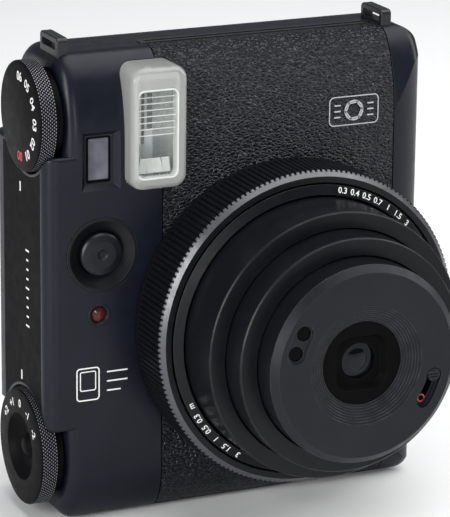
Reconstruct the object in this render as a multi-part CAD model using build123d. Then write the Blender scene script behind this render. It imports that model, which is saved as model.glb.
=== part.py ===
from build123d import *
import math
import os

# Instant camera with a telescoping lens. Millimetres, +Z up. The origin is the mouth of the tripod
# socket in the middle of the base, the lens looks along -Y, and +X is to the right seen from the front.

# Body
BODY_LEFT = -51.0
BODY_RIGHT = 51.0
BLOCK_LEFT = -45.7
BODY_HEIGHT = 117.5
FRONT_Y = -20.0
SEAM_Y = -5.0
BACK_Y = 15.0
WALL = 2.0
SIDE_PLATE = 1.2
SKIN = 0.8
GAP = 0.3

# Corners of the side view, as depth and height of each elliptical round
TOP_ROLL = (9.5, 22.0)
BOTTOM_ROLL = (7.5, 12.0)
BACK_TOP_ROLL = (14.0, 14.0)
BACK_BOTTOM_ROLL = (6.0, 6.0)
EDGE_ROUND = 3.4
SHOULDER_ROUND = 1.0
RIGHT_CORNER_ROUND = 6.5

# Dials on the left side, as the Y and Z of each centre
EFFECT_DIAL = (-7.4, 102.0)
EFFECT_DIAL_R = 13.5
BRIGHTNESS_DIAL = (-5.6, 17.4)
BRIGHTNESS_DIAL_R = 14.6
DIAL_FACE_X = -52.7
DIAL_SHAFT_R = 3.0
NOTCH_TOP_Z = 94.0
NOTCH_BOTTOM_Z = 24.8
DIAL_CLEARANCE = 0.7

# Lens, whose axis runs along Y
LENS_X = 11.6
LENS_Z = 49.0
RING_R = 40.0
RING_INNER_R = 36.9
RING_FRONT_Y = -36.6
RING_BACK_Y = -20.4
BOSS_X = 38.0
BOSS_BACK_Y = -13.5
MOUNT_R = 36.0
BEZEL_R = 36.5
OUTER_BARREL_R = 33.5
MIDDLE_BARREL_R = 29.2
INNER_BARREL_R = 24.6
OUTER_FRONT_Y = -51.0
MIDDLE_FRONT_Y = -59.0
INNER_FRONT_Y = -67.0
BARREL_WALL = 1.6
LIP = 1.6
SLIDE_FIT = 0.05
RECESS_R = 14.65
RECESS_OPENING_R = 10.0
RECESS_STEPS = 7
VIGNETTE_R = 18.75
VIGNETTE_START = -14.0
VIGNETTE_END = -34.0
SENSOR_R = 19.1
SENSOR_ANGLES = (149.0, 164.5)
BLADE_REACH = 12.0

# Flash, finder, shutter button and lamp on the front
FLASH_X = -23.3
FLASH_Z = 100.0
FLASH_SIZE = (14.6, 30.0)
FLASH_FRONT_Y = -24.6
FLASH_TUBE_Y = -16.6
FINDER_X = -36.9
FINDER_Z = 92.4
FINDER_SIZE = (6.5, 11.5)
SHUTTER_X = -36.5
SHUTTER_Z = 69.0
DISH_R = 9.3
BUTTON_R = 5.4
LAMP_X = -37.3
LAMP_Z = 53.9
LAMP_BEZEL_R = 2.9

# Base, top and right side
SOCKET_R = 4.8
SOCKET_BORE_R = 2.6
LUG_X = 43.3
LUG_Y = -6.3
LUG_THICK = 2.8
LUG_LENGTH = 11.4
LUG_BAR = 1.3
LUG_TOP_Z = 121.2
LUG_SLOT = 1.7
BATTERY = (8.4, 45.6)
LID_HINGE_Y = 9.2
LID_HINGE_Z = 1.1
USB_Z0 = 76.0
USB_Z1 = 90.0
USB_HINGE_X = 50.0
USB_HINGE_Y = -6.9

# Leatherette
LEATHER_LEFT = -20.5
LEATHER_RIGHT = 41.8

# Film
FILM_X = 9.4
CARTRIDGE = (66.0, 11.8, 96.0)
CARTRIDGE_FRONT_Y = -3.0
CARTRIDGE_BOTTOM_Z = 9.6
CHAMBER_FRONT_Y = -4.5
CHAMBER_BACK_Y = -3.2
SLOT_Y = -7.0
SLOT_LENGTH = 59.4
SLOT_WIDTH = 1.3
ROLLER_R = 2.1

# Drive train, in the plane left of the film cartridge
GEAR_Y = -1.6
GEAR_MODULE = 0.5
GEAR_X = -27.4
GEAR_WIDTH = 2.4
PINION_TEETH = 12
IDLER_TEETH = 28
ROLLER_TEETH = 14
ROLLER_Z = 110.0
UPPER_IDLER_Z = ROLLER_Z - GEAR_MODULE * (ROLLER_TEETH + IDLER_TEETH) / 2
LOWER_IDLER_Z = UPPER_IDLER_Z - GEAR_MODULE * IDLER_TEETH
PINION_Z = LOWER_IDLER_Z - GEAR_MODULE * (IDLER_TEETH + PINION_TEETH) / 2
FRONT_ROLLER = (-6.2, 108.9)

# Rear
DOOR_LEFT = -26.0
DOOR_BOTTOM_Z = 7.0
DOOR_TOP_Z = 108.0
HINGE_X = 47.0
HINGE_Y = 11.7
HINGE_R = 2.4
HINGE_PIN_R = 0.9
COLUMN_X = -35.6
BUTTON_ZS = (54.0, 43.0, 32.0)
REAR_BUTTON_R = 3.4
DISPLAY_Z = 72.0
LATCH_X = -21.6
LATCH_Z = 58.0

os.makedirs("parts", exist_ok=True)


def block(x0, x1, y0, y1, z0, z1):
    """A box given by its limits."""
    size = Box(x1 - x0, y1 - y0, z1 - z0)
    return Pos((x0 + x1) / 2, (y0 + y1) / 2, (z0 + z1) / 2) * size


def rod_y(radius, y0, y1, x, z):
    """A cylinder along Y."""
    return Pos(x, (y0 + y1) / 2, z) * Rot(90, 0, 0) * Cylinder(radius, y1 - y0)


def rod_x(radius, x0, x1, y, z):
    """A cylinder along X."""
    return Pos((x0 + x1) / 2, y, z) * Rot(0, 90, 0) * Cylinder(radius, x1 - x0)


def rod_z(radius, z0, z1, x, y):
    """A cylinder along Z."""
    return Pos(x, y, (z0 + z1) / 2) * Cylinder(radius, z1 - z0)


def rounded_y(width, height, radius, y0, y1, x, z):
    """A rounded rectangle in the XZ plane, extruded along Y from y0 to y1."""
    face = Plane.XZ * RectangleRounded(width, height, radius)
    return Pos(x, y1, z) * extrude(face, amount=y1 - y0)


def turned(points, x=LENS_X, z=LENS_Z):
    """A solid of revolution about an axis along Y, from a closed outline of (radius, y) points."""
    outline = make_face(Polyline(*points, close=True))
    return Pos(x, 0, z) * revolve(outline, Axis.Y)


def turned_x(points, y, z):
    """A solid of revolution about an axis along X, from a closed outline of (x, radius) points."""
    outline = make_face(Polyline(*points, close=True))
    return Pos(0, y, z) * revolve(outline, Axis.X)


def side_view(inset):
    """Outline of the body seen from the side, in the YZ plane, moved inwards by inset."""
    y0, y1 = FRONT_Y + inset, BACK_Y - inset
    z0, z1 = inset, BODY_HEIGHT - inset
    top = (FRONT_Y + TOP_ROLL[0], BODY_HEIGHT - TOP_ROLL[1])
    bottom = (FRONT_Y + BOTTOM_ROLL[0], BOTTOM_ROLL[1])
    back_top = (BACK_Y - BACK_TOP_ROLL[0], BODY_HEIGHT - BACK_TOP_ROLL[1])
    back_bottom = (BACK_Y - BACK_BOTTOM_ROLL[0], BACK_BOTTOM_ROLL[1])
    corners = [
        (back_bottom, BACK_BOTTOM_ROLL, 270),
        (back_top, BACK_TOP_ROLL, 0),
        (top, TOP_ROLL, 90),
        (bottom, BOTTOM_ROLL, 180),
    ]
    arcs = []
    for centre, roll, start in corners:
        arc = EllipticalCenterArc(centre, roll[0] - inset, roll[1] - inset, start, arc_size=90)
        arcs.append(arc)
    edges = list(arcs)
    for index, arc in enumerate(arcs):
        follower = arcs[(index + 1) % len(arcs)]
        edges.append(Line(arc @ 1, follower @ 0))
    return Plane.YZ * make_face(Curve() + edges)


def top_view(inset):
    """Outline of the body seen from above, in the XY plane, moved inwards by inset."""
    x0, x1 = BODY_LEFT + inset, BODY_RIGHT - inset
    corners = [
        ((x1 - 10.0 + inset, FRONT_Y + 6.0), (10.0 - inset, 6.0 - inset), 270),
        ((x1 - 8.0 + inset, BACK_Y - 6.0), (8.0 - inset, 6.0 - inset), 0),
        ((x0 + 5.0 - inset, BACK_Y - 4.4), (5.0 - inset, 4.4 - inset), 90),
    ]
    arcs = []
    for centre, radii, start in corners:
        arcs.append(EllipticalCenterArc(centre, radii[0], radii[1], start, arc_size=90))
    front_left = (x0, FRONT_Y + inset)
    edges = list(arcs)
    edges.append(Line(arcs[0] @ 1, arcs[1] @ 0))
    edges.append(Line(arcs[1] @ 1, arcs[2] @ 0))
    edges.append(Line(arcs[2] @ 1, front_left))
    edges.append(Line(front_left, arcs[0] @ 0))
    return make_face(Curve() + edges)


def body_slab(inset, left, right):
    """The body between two side planes, moved inwards by inset."""
    return Pos(left, 0, 0) * extrude(side_view(inset), amount=right - left)


def front_view(inset):
    """A slab that rounds the right corners of the body seen from the front, moved inwards by inset."""
    height = BODY_HEIGHT + 0.1 - 2 * inset
    width = 2 * (BODY_RIGHT - BODY_LEFT)
    middle_x = BODY_RIGHT - inset - width / 2
    return rounded_y(width, height, RIGHT_CORNER_ROUND - inset, -30, 30, middle_x, BODY_HEIGHT / 2)


def side_block():
    """The shoulder between the dials, with its front edges rounded."""
    shoulder = block(BODY_LEFT, BLOCK_LEFT + 5, FRONT_Y, BACK_Y, NOTCH_BOTTOM_Z, NOTCH_TOP_Z)
    corner = shoulder.edges().filter_by(Axis.Z).sort_by(lambda edge: edge.center().X + edge.center().Y)[0]
    shoulder = fillet(corner, EDGE_ROUND)
    front = shoulder.faces().sort_by(Axis.Y)[0]
    return fillet(front.edges().filter_by(Axis.X), SHOULDER_ROUND)


def dial_pocket(dial, radius):
    """The round pocket that one dial sits in."""
    return rod_x(radius + DIAL_CLEARANCE, BODY_LEFT - 1, BLOCK_LEFT, dial[0], dial[1])


def outer_body():
    """The whole outside of the case, stepped in at the left behind each dial."""
    slab = body_slab(0, BLOCK_LEFT, BODY_RIGHT)
    slab = fillet(slab.faces().sort_by(Axis.X)[-1].edges(), EDGE_ROUND)
    slab = fillet(slab.faces().sort_by(Axis.X)[0].edges(), EDGE_ROUND)
    body = (slab + side_block()) & extrude(top_view(0), amount=BODY_HEIGHT)
    body &= front_view(0)
    body -= dial_pocket(EFFECT_DIAL, EFFECT_DIAL_R)
    return body - dial_pocket(BRIGHTNESS_DIAL, BRIGHTNESS_DIAL_R)


def inner_body(inset):
    """The space inside the case walls."""
    room = body_slab(inset, BLOCK_LEFT + inset, BODY_RIGHT - inset)
    return room & extrude(top_view(inset), amount=BODY_HEIGHT) & front_view(inset)


def case_wall():
    """The hollow case before it is parted, with its side shoulder hollowed too."""
    shoulder_room = block(BODY_LEFT + 3, BLOCK_LEFT + 3, FRONT_Y + WALL, 11, 36, 84)
    wall = OUTER - INNER - shoulder_room
    for dial in (EFFECT_DIAL, BRIGHTNESS_DIAL):
        wall -= rod_x(DIAL_SHAFT_R + SLIDE_FIT, -50, -40, *dial)
    return wall


def side_plate(grow):
    """The flat plate between the dials."""
    z0, z1 = NOTCH_BOTTOM_Z + 1.4 - grow, NOTCH_TOP_Z - 1.4 + grow
    plate = block(BODY_LEFT - grow, BODY_LEFT + SIDE_PLATE, -16.2 - grow, 8.4 + grow, z0, z1)
    plate -= rod_x(EFFECT_DIAL_R + 1.4 - grow, BODY_LEFT - 2, BLOCK_LEFT, *EFFECT_DIAL)
    return plate - rod_x(BRIGHTNESS_DIAL_R + 1.4 - grow, BODY_LEFT - 2, BLOCK_LEFT, *BRIGHTNESS_DIAL)


def leather_skin(grow):
    """The grained skin over the front and the rolled top, up to the film exit."""
    skin = OUTER - inner_body(SKIN)
    skin &= block(LEATHER_LEFT - grow, LEATHER_RIGHT + grow, -30, SEAM_Y - 0.2, 1.2 - grow, 130)
    skin -= rod_y(38.5 - grow, -30, SEAM_Y, LENS_X, LENS_Z)
    skin -= flash_opening(0.3 - grow)
    return skin - slot_frame(0.3 - grow)


def flash_opening(grow):
    """The window in the front that the flash cover fills."""
    width, height = FLASH_SIZE[0] + 2 * grow, FLASH_SIZE[1] + 2 * grow
    return rounded_y(width, height, 3.2 + grow, FRONT_Y - 8, -12, FLASH_X, FLASH_Z)


def slot_frame(grow):
    """The outside of the film exit lip."""
    face = RectangleRounded(SLOT_LENGTH + 3.2 + 2 * grow, 3.6 + 2 * grow, 1.7 + grow)
    return Pos(FILM_X, SLOT_Y, 114.6) * extrude(face, amount=3.1)


def finder_recess():
    """The bevelled recess and the hole behind it for the finder window."""
    mouth = Pos(FINDER_X + 0.2, FRONT_Y - 0.01, FINDER_Z) * (Plane.XZ * Rectangle(9.9, 14.6))
    recess = extrude(mouth, amount=-1.4, taper=40)
    hole = rounded_y(FINDER_SIZE[0], FINDER_SIZE[1], 0.6, FRONT_Y, FRONT_Y + 4, FINDER_X, FINDER_Z)
    return recess + hole


def strap_lug(side):
    """A loop for the strap with a foot that passes through the top of the case."""
    x = side * LUG_X
    half = LUG_THICK / 2
    reach = LUG_LENGTH / 2
    lug = block(x - half, x + half, LUG_Y - reach, LUG_Y + reach, BODY_HEIGHT - 3, LUG_TOP_Z)
    lug = fillet(lug.faces().sort_by(Axis.Z)[-1].edges().filter_by(Axis.X), 1.2)
    lug = fillet(lug.edges().filter_by(GeomType.CIRCLE), 0.3) - OUTER
    inside = reach - LUG_BAR
    slot_top = LUG_TOP_Z - LUG_BAR
    lug -= block(x - 3, x + 3, LUG_Y - inside, LUG_Y + inside, slot_top - LUG_SLOT, slot_top)
    return lug + lug_foot(side, 0)


def lug_foot(side, grow):
    """The foot of a strap lug, or with grow the hole for it."""
    x = side * LUG_X
    return block(x - 1.3 - grow, x + 1.3 + grow, -11.6 - grow, -5.8 + grow, 114, BODY_HEIGHT)


def screw_places():
    """Each case screw as its position and whether it goes in from the base or the right side."""
    return [((-38, 3), "base"), ((-20, 3), "base"), ((3.5, 20), "side"), ((3.5, 98), "side")]


def screw(place, entry, grow):
    """One countersunk screw, or with grow the hole for it."""
    if entry == "base":
        x, y = place
        return rod_z(1.5 + grow, 0.2 - 3 * grow, 1.1, x, y) + rod_z(0.8 + grow, 1.1, 6, x, y)
    y, z = place
    head = rod_x(1.5 + grow, BODY_RIGHT - 1.1, BODY_RIGHT - 0.2 + 3 * grow, y, z)
    return head + rod_x(0.8 + grow, BODY_RIGHT - 6, BODY_RIGHT - 1.1, y, z)


def battery_opening():
    """The opening in the base for the battery, with bores for the pins of its lid."""
    hole = block(BATTERY[0] - 1.3, BATTERY[1] + 1.3, -11.3, LID_HINGE_Y + 1.3, -1, WALL + 0.5)
    return hole + rod_x(0.66, BATTERY[0] - 2.4, BATTERY[1] + 2.4, LID_HINGE_Y, LID_HINGE_Z)


def usb_opening():
    """The opening in the right side for the socket, with bores for the pins of its cover."""
    hole = block(BODY_RIGHT - 3, BODY_RIGHT + 1, -13.3, USB_HINGE_Y + 1.2, USB_Z0 - 0.3, USB_Z1 + 0.3)
    return hole + rod_z(0.56, USB_Z0 - 1.2, USB_Z1 + 1.2, USB_HINGE_X, USB_HINGE_Y)


def ring_boss():
    """The round shoulder that carries the lens ring where the case rounds off at the right."""
    boss = rod_y(39.3, FRONT_Y - 0.15, BOSS_BACK_Y, LENS_X, LENS_Z)
    return boss & block(BOSS_X, BODY_RIGHT - 0.1, -30, BOSS_BACK_Y, 0, 99)


def front_shell():
    """The front half of the case: smooth panel, finder recess and every front opening."""
    shell = CASE & block(-60, 60, -30, SEAM_Y, -1, 130)
    shell += ring_boss()
    shell -= leather_skin(0.3)
    shell -= rod_y(MOUNT_R + 0.1, -30, SEAM_Y, LENS_X, LENS_Z)
    shell -= flash_opening(0.05)
    shell -= slot_frame(0.05)
    shell -= finder_recess()
    shell -= rod_y(DISH_R, -30, -10, SHUTTER_X, SHUTTER_Z)
    shell -= rod_y(LAMP_BEZEL_R, -30, -10, LAMP_X, LAMP_Z)
    shell -= side_plate(0.05)
    shell -= battery_opening()
    shell -= usb_opening()
    for side in (-1, 1):
        shell -= lug_foot(side, 0.05)
    return shell


def rear_shell():
    """The rear half of the case: the frame round the film door and the column with the controls."""
    shell = CASE & block(-60, 60, SEAM_Y, 30, -1, 130)
    for z0, z1 in ((2.0, DOOR_BOTTOM_Z - 0.3), (DOOR_TOP_Z + 0.3, DOOR_TOP_Z + 3.5)):
        shell += rod_z(HINGE_R, z0, z1, HINGE_X, HINGE_Y) & OUTER
    shell -= block(DOOR_LEFT - GAP, HINGE_X, 8, 20, DOOR_BOTTOM_Z - GAP, DOOR_TOP_Z + GAP)
    shell -= rod_z(HINGE_R + 0.5, DOOR_BOTTOM_Z - GAP, DOOR_TOP_Z + GAP, HINGE_X, HINGE_Y)
    shell -= door_pins()
    shell -= rod_z(SOCKET_R, -1, 5, 0, 0)
    shell -= battery_opening()
    shell -= side_plate(0.05)
    shell -= rod_y(4.7, 10, 20, FINDER_X, FINDER_Z)
    shell -= rounded_y(11.1, 14.1, 1.5, 10, 20, COLUMN_X, DISPLAY_Z)
    for z in BUTTON_ZS:
        shell -= rod_y(REAR_BUTTON_R + GAP, 10, 20, COLUMN_X, z)
    for place, entry in screw_places():
        shell -= screw(place, entry, 0.05)
    return shell


def case_screws():
    """Four screws that close the case."""
    return Compound(children=[screw(place, entry, 0) for place, entry in screw_places()])


def side_panel():
    """The flat black plate on the left side."""
    return side_plate(0)


def leather_cover():
    """The grained cover on the front and top."""
    return leather_skin(0)


def film_exit_lip():
    """The frame of the slot that the film leaves through."""
    face = RectangleRounded(SLOT_LENGTH, SLOT_WIDTH, 0.6)
    return slot_frame(0) - Pos(FILM_X, SLOT_Y, 110) * extrude(face, amount=12)


def strap_lug_left():
    """The strap lug at the left end of the top."""
    return strap_lug(-1)


def strap_lug_right():
    """The strap lug at the right end of the top."""
    return strap_lug(1)


def tripod_socket():
    """The threaded insert in the base."""
    insert = rod_z(SOCKET_R, 0, 5, 0, 0) + rod_z(SOCKET_R + 1.5, WALL, 3.4, 0, 0)
    return insert - rod_z(SOCKET_BORE_R, -1, 4.5, 0, 0)


def dark_chamber():
    """The light-tight frame between the lens mount and the film, with ears for the rollers."""
    chamber = block(-22, 41, CHAMBER_FRONT_Y, CHAMBER_BACK_Y, 8.6, 106)
    chamber -= block(FILM_X - 23, FILM_X + 23, -6, 0, LENS_Z - 31, LENS_Z + 31)
    collar = rod_y(MOUNT_R + 1.6, -16.4, CHAMBER_FRONT_Y, LENS_X, LENS_Z)
    collar -= rod_y(MOUNT_R + 0.05, -17, 0, LENS_X, LENS_Z)
    chamber += collar & block(-30, BOSS_X - 0.5, -17, 0, 0, 99)
    for x0, x1 in ((-22.6, -20.4), (39.2, 41.4)):
        ear = block(x0, x1, -9, CHAMBER_BACK_Y, 98, 106) + block(x0, x1, -9, 0.6, 106, 112.4)
        ear -= rod_x(1.05, x0 - 1, x1 + 1, GEAR_Y, ROLLER_Z)
        chamber += ear - rod_x(1.05, x0 - 1, x1 + 1, *FRONT_ROLLER)
    return chamber


def lens_mount():
    """The fixed guide tube of the lens, with the flange that holds it behind the front panel."""
    bore = OUTER_BARREL_R + 0.85
    tube = turned([(bore, -34), (MOUNT_R, -34), (MOUNT_R, -5), (bore, -5)])
    flange = rod_y(40, -17.9, -16.6, LENS_X, LENS_Z) - rod_y(MOUNT_R - 0.1, -18, -16, LENS_X, LENS_Z)
    return tube + (flange & block(-40, BOSS_X - 0.5, -18, -16, 11.8, 99))


def lens_bezel():
    """The fixed, slightly conical ring with the scale in front of the mount."""
    inner = OUTER_BARREL_R + 0.4
    return turned([(inner, -34), (inner, -36.9), (inner + 0.3, -37.2), (BEZEL_R, -36.5), (BEZEL_R, -34)])


def lens_ring():
    """The ribbed ring that turns to switch on and to focus."""
    boss = MOUNT_R + SLIDE_FIT
    return turned([
        (boss, RING_BACK_Y), (39.4, RING_BACK_Y), (39.4, -22.2), (39.8, -22.4), (RING_R, -22.8),
        (RING_R, -35.0), (38.5, RING_FRONT_Y), (RING_INNER_R, RING_FRONT_Y), (RING_INNER_R, -26),
        (boss, -26),
    ])


def barrel(radius, front_y, length, flange_r, opening_r):
    """A telescoping tube with an inward lip at its front and a guide flange at its back."""
    inner = radius - BARREL_WALL
    back_y = front_y + length
    return turned([
        (opening_r, front_y + LIP), (opening_r, front_y), (radius - 0.3, front_y), (radius, front_y + 0.3),
        (radius, back_y - 2.4), (flange_r, back_y - 2.0), (flange_r, back_y), (inner, back_y),
        (inner, front_y + LIP),
    ])


def barrel_outer():
    """The largest telescoping barrel."""
    return barrel(OUTER_BARREL_R, OUTER_FRONT_Y, 34, OUTER_BARREL_R + 0.8, MIDDLE_BARREL_R + 0.4)


def barrel_middle():
    """The middle telescoping barrel."""
    flange = OUTER_BARREL_R - BARREL_WALL - SLIDE_FIT
    return barrel(MIDDLE_BARREL_R, MIDDLE_FRONT_Y, 26, flange, INNER_BARREL_R + 0.4)


def barrel_inner():
    """The smallest barrel, with the aperture and the blade pivots on its bulkhead."""
    flange = MIDDLE_BARREL_R - BARREL_WALL - SLIDE_FIT
    inner = INNER_BARREL_R - BARREL_WALL
    tube = turned([
        (inner, -65.4), (INNER_BARREL_R, -65.4), (INNER_BARREL_R, -46.4), (flange, -46), (flange, -44),
        (inner, -44),
    ])
    bulkhead = rod_y(inner, -57.5, -55.4, LENS_X, LENS_Z) - rod_y(3.4, -58, -54, LENS_X, LENS_Z)
    bulkhead -= rod_y(7.1, -56.7, -54, LENS_X, LENS_Z)
    for side in (-1, 1):
        bulkhead += rod_y(0.8, -59.1, -57.4, LENS_X + side * BLADE_REACH, LENS_Z)
    return tube + bulkhead


def recess_outline():
    """Stepped points from the face down to the opening of the lens recess, as (radius, y)."""
    points = []
    step_r = (RECESS_R - RECESS_OPENING_R - 0.4) / RECESS_STEPS
    step_y = 2.5 / RECESS_STEPS
    for index in range(RECESS_STEPS + 1):
        radius = RECESS_R - index * step_r
        points.append((radius, INNER_FRONT_Y + index * step_y))
        points.append((radius, INNER_FRONT_Y + (index + 1) * step_y))
    return points[:-1]


def on_face(radius, degrees):
    """The X and Z of a point on the lens face, by its angle from +X towards +Z."""
    angle = math.radians(degrees)
    return LENS_X + radius * math.cos(angle), LENS_Z + radius * math.sin(angle)


def arc_slot(radius, half_width, start, end, y0, y1):
    """A slot round the lens axis with round ends."""
    steps = 12
    slot = rod_y(radius + half_width, y0, y1, LENS_X, LENS_Z)
    slot -= rod_y(radius - half_width, y0 - 1, y1 + 1, LENS_X, LENS_Z)
    points = [(0, 0)]
    for index in range(steps + 1):
        angle = math.radians(start + (end - start) * index / steps)
        points.append((40 * math.cos(angle), 40 * math.sin(angle)))
    wedge = Plane.XZ * make_face(Polyline(*points, close=True))
    slot &= Pos(LENS_X, y1, LENS_Z) * extrude(wedge, amount=y1 - y0)
    for degrees in (start, end):
        x, z = on_face(radius, degrees)
        slot += rod_y(half_width, y0, y1, x, z)
    return slot


def lens_face():
    """The front disc with the stepped recess, the sensor holes and the vignette slot."""
    face = turned([
        (22.9, INNER_FRONT_Y), (24.6, -65.5), (24.6, -65.4), (22.9, -65.4), (22.9, -63.8), (10.4, -63.8),
        *reversed(recess_outline()),
    ])
    face -= arc_slot(VIGNETTE_R, 1.95, VIGNETTE_START - 0.5, VIGNETTE_END - 0.5, INNER_FRONT_Y - 1, -65.6)
    face -= arc_slot(VIGNETTE_R, 0.8, VIGNETTE_START + 1, VIGNETTE_END - 1, -66, -63)
    pad_back = INNER_FRONT_Y + 0.6
    pads = [rod_y(2.45, INNER_FRONT_Y - 1, pad_back, *on_face(SENSOR_R, a)) for a in SENSOR_ANGLES]
    between = on_face(SENSOR_R, sum(SENSOR_ANGLES) / 2)
    tilt = Rot(0, 90 - sum(SENSOR_ANGLES) / 2, 0)
    bridge = Pos(between[0], INNER_FRONT_Y, between[1]) * tilt * Box(5.1, 1.2, 4.9)
    face -= pads[0] + pads[1] + (bridge & block(-60, 60, -70, INNER_FRONT_Y + 0.6, 0, 99))
    for degrees in SENSOR_ANGLES:
        face -= rod_y(1.9, -70, -60, *on_face(SENSOR_R, degrees))
    return face


def sensor_windows():
    """The two dark windows of the light sensors."""
    return Compound(children=[rod_y(1.88, -66.0, -64.6, *on_face(SENSOR_R, a)) for a in SENSOR_ANGLES])


def lens_cell():
    """The square baffle and the tube that holds the front element."""
    cell = rod_y(10.35, -64.4, -59.2, LENS_X, LENS_Z) - rod_y(7.25, -61.6, -59, LENS_X, LENS_Z)
    square = Pos(LENS_X, -64.45, LENS_Z) * (Plane.XZ * RectangleRounded(13.4, 13.4, 3.4))
    cell -= extrude(square, amount=-1.85, taper=30)
    return cell - rod_y(4.4, -65, -61, LENS_X, LENS_Z)


def front_element():
    """The front lens, curved on both sides."""
    disc = rod_y(7.2, -61.5, -59.4, LENS_X, LENS_Z)
    dome = Pos(LENS_X, -52.0, LENS_Z) * Sphere(9.9)
    return disc + (dome & rod_y(4.2, -63, -61.4, LENS_X, LENS_Z))


def rear_element():
    """The rear lens in the bulkhead."""
    disc = rod_y(7.05, -56.5, -54.6, LENS_X, LENS_Z)
    dome = Pos(LENS_X, -66.0, LENS_Z) * Sphere(12.4)
    return disc + (dome & rod_y(6, -55, -53, LENS_X, LENS_Z))


def shutter_blade(side, y):
    """One blade, a disc over the aperture on an arm from its pivot."""
    pivot = LENS_X + side * BLADE_REACH
    blade = rod_y(4.4, y, y + 0.3, LENS_X, LENS_Z) + rod_y(2.0, y, y + 0.3, pivot, LENS_Z)
    blade += block(min(LENS_X, pivot), max(LENS_X, pivot), y, y + 0.3, LENS_Z - 1.3, LENS_Z + 1.3)
    return blade - rod_y(0.86, y - 1, y + 1, pivot, LENS_Z)


def shutter_blade_left():
    """The blade that turns on the left pivot."""
    return shutter_blade(-1, -58.9)


def shutter_blade_right():
    """The blade that turns on the right pivot."""
    return shutter_blade(1, -58.2)


def vignette_switch():
    """The ribbed round slider of the vignette filter."""
    x, z = on_face(VIGNETTE_R, VIGNETTE_START)
    knob = rod_y(1.65, -67.3, -65.9, x, z)
    for index in range(-1, 2):
        knob -= block(x - 2, x + 2, -68, -67.0, z + index - 0.2, z + index + 0.2)
    return knob + rod_y(0.5, -66, -63.2, x, z)


def effect_dial():
    """The upper knurled dial with a flat face."""
    r = EFFECT_DIAL_R
    return turned_x([
        (DIAL_FACE_X, 0), (DIAL_FACE_X, r - 0.8), (DIAL_FACE_X + 0.5, r), (-48.3, r), (-48.0, r - 2.2),
        (-46.0, r - 2.2), (-46.0, DIAL_SHAFT_R), (-43.2, DIAL_SHAFT_R), (-43.2, 0),
    ], *EFFECT_DIAL)


def brightness_dial():
    """The lower knurled dial with a round bowl and boss in its face."""
    r = BRIGHTNESS_DIAL_R
    return turned_x([
        (DIAL_FACE_X + 0.9, 0), (DIAL_FACE_X + 0.9, 2.0), (DIAL_FACE_X + 2.6, 3.2), (DIAL_FACE_X + 2.8, 5.0),
        (DIAL_FACE_X + 2.0, 7.0), (DIAL_FACE_X, 8.4), (DIAL_FACE_X, r - 0.8), (DIAL_FACE_X + 0.5, r),
        (-48.3, r),
        (-48.0, r - 2.2), (-46.0, r - 2.2), (-46.0, DIAL_SHAFT_R), (-43.2, DIAL_SHAFT_R), (-43.2, 0),
    ], *BRIGHTNESS_DIAL)


def flash_cover():
    """The clear housing over the flash."""
    cover = rounded_y(*FLASH_SIZE, 3.2, FLASH_FRONT_Y, -12.1, FLASH_X, FLASH_Z)
    cover = fillet(cover.faces().sort_by(Axis.Y)[0].edges(), 1.6)
    width, height = FLASH_SIZE[0] - 2.4, FLASH_SIZE[1] - 2.4
    return cover - rounded_y(width, height, 2.2, FLASH_FRONT_Y + 1.2, -10, FLASH_X, FLASH_Z)


def flash_reflector():
    """The bright trough behind the flash tube."""
    shell = rounded_y(11.6, 26.4, 1.4, -22.6, -13.4, FLASH_X, FLASH_Z)
    trough = Pos(FLASH_X, -22.6, FLASH_Z - 11.8) * extrude(Ellipse(5.0, 8.2), amount=23.6)
    shell -= trough
    return shell - rod_z(0.9, FLASH_Z - 14, FLASH_Z + 14, FLASH_X, FLASH_TUBE_Y)


def flash_tube():
    """The glass tube of the flash with its end caps."""
    tube = rod_z(1.3, FLASH_Z - 11.4, FLASH_Z + 11.4, FLASH_X, FLASH_TUBE_Y)
    return tube + rod_z(0.85, FLASH_Z - 13.4, FLASH_Z + 13.4, FLASH_X, FLASH_TUBE_Y)


def flash_capacitor():
    """The storage capacitor of the flash."""
    can = rod_z(6.2, 7, 44, -35.4, -2)
    return fillet(can.edges(), 0.8)


def finder_window():
    """The front glass of the finder."""
    return rounded_y(FINDER_SIZE[0] + 1.4, FINDER_SIZE[1] + 1.4, 0.8, -17.8, -16.8, FINDER_X, FINDER_Z)


def finder_tube():
    """The rectangular tube between the finder window and the eyepiece."""
    tube = rounded_y(9.4, 14.2, 1, -16.8, 12.6, FINDER_X, FINDER_Z)
    return tube - rounded_y(7.4, 12.2, 0.6, -18, 14, FINDER_X, FINDER_Z)


def finder_eyepiece():
    """The round rear lens of the finder."""
    disc = rod_y(4.65, 12.7, 14.4, FINDER_X, FINDER_Z)
    return disc + (Pos(FINDER_X, 8.0, FINDER_Z) * Sphere(7.2) & rod_y(4, 14, 16, FINDER_X, FINDER_Z))


def eyecup():
    """The rubber ring round the eyepiece."""
    cup = rounded_y(14.2, 15.2, 5.5, BACK_Y, BACK_Y + 2.8, FINDER_X + 0.6, FINDER_Z)
    cup = fillet(cup.faces().sort_by(Axis.Y)[-1].edges(), 1.0)
    return cup - rod_y(5.0, 14, 20, FINDER_X, FINDER_Z)


def shutter_dish():
    """The round dish that surrounds the shutter button."""
    outline = [(5.75, -18.6), (8.5, -20.15), (9.2, -20.15), (9.2, -17.3), (5.75, -17.3)]
    return turned(outline, SHUTTER_X, SHUTTER_Z)


def shutter_button():
    """The shutter button with a dimple in its middle and a stem behind."""
    return turned([
        (0, -20.0), (0.9, -20.0), (1.3, -20.5), (3.4, -20.5), (4.9, -20.3), (BUTTON_R, -19.8),
        (BUTTON_R, -17.2), (2, -17.2), (2, -14.0), (0, -14.0),
    ], SHUTTER_X, SHUTTER_Z)


def lamp_bezel():
    """The dark ring round the self-timer lamp."""
    outline = [(1.95, -19.7), (2.3, -20.2), (2.7, -20.25), (2.9, -20.1), (2.9, -17.6), (1.95, -17.6)]
    return turned(outline, LAMP_X, LAMP_Z)


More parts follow.
